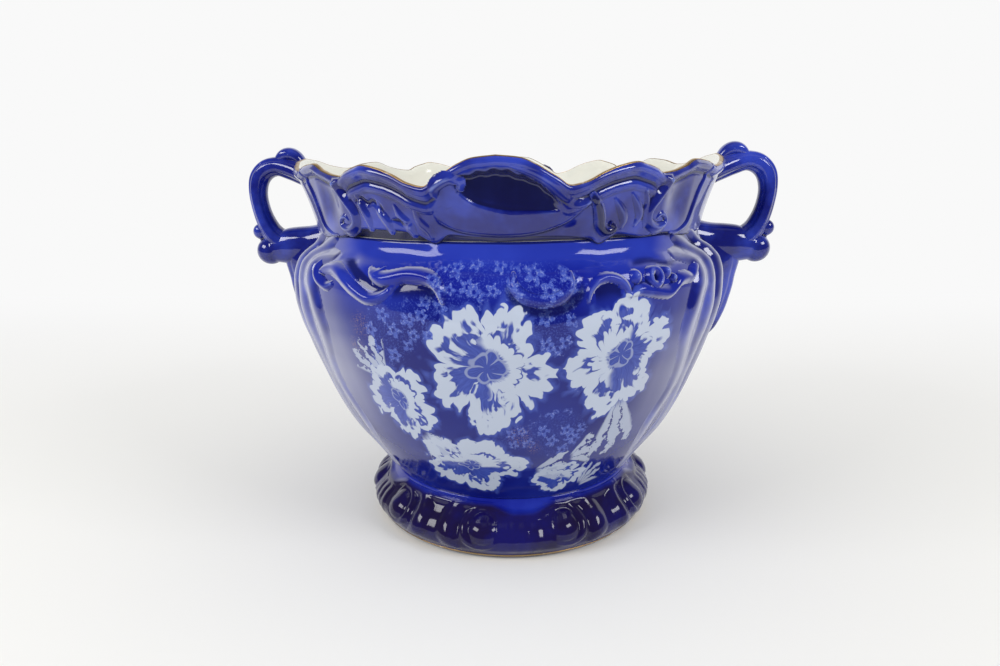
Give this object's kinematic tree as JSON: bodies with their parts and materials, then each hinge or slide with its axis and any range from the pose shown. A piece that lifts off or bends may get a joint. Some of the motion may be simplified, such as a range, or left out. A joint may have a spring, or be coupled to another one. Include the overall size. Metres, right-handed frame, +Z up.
{
  "type": "two-handled ceramic planter",
  "caption": "Table-top glazed pottery planter with a bulbous body, scalloped flaring rim, ring handles with scroll knops and a moulded spreading foot.",
  "frame": {"origin": "centre of the foot ring, in the plane it stands on", "axes": "+Z up the axis of the pot; +X towards the right-hand handle, so the handles lie along X; the front printed panel faces -Y"},
  "size_m": [0.306, 0.2425, 0.2138],
  "materials": {
    "printed_glaze": "glossy cobalt glaze with a soft-edged blue and white floral print outside, cream glaze inside",
    "cobalt_glaze": "glossy cobalt glaze pooling in the mouldings, cream glaze inside the rim",
    "dark_glaze": "glossy blue-black glaze with a faint bronze bloom",
    "gold_line": "thin worn burnished gold"
  },
  "bodies": {
    "root": {"bowl": "printed_glaze", "foot": "dark_glaze", "rim_collar": "cobalt_glaze", "handle_loop_right": "cobalt_glaze", "handle_loop_left": "cobalt_glaze", "handle_knop_right": "cobalt_glaze", "handle_knop_left": "cobalt_glaze", "handle_crest_curl_right": "cobalt_glaze", "handle_crest_curl_left": "cobalt_glaze", "handle_leaf_right": "cobalt_glaze", "handle_leaf_left": "cobalt_glaze", "panel_rib_front_right": "cobalt_glaze", "panel_rib_front_left": "cobalt_glaze", "panel_rib_back_right": "cobalt_glaze", "panel_rib_back_left": "cobalt_glaze", "shoulder_scroll_front_right": "cobalt_glaze", "shoulder_scroll_front_left": "cobalt_glaze", "shoulder_scroll_back_right": "cobalt_glaze", "shoulder_scroll_back_left": "cobalt_glaze", "rim_scroll_front_right": "cobalt_glaze", "rim_scroll_front_left": "cobalt_glaze", "rim_scroll_back_right": "cobalt_glaze", "rim_scroll_back_left": "cobalt_glaze", "rim_shell_front": "cobalt_glaze", "rim_shell_back": "cobalt_glaze", "foot_scrolls": "dark_glaze", "rim_gilding": "gold_line", "foot_gilding": "gold_line"}
  },
  "joints": []
}
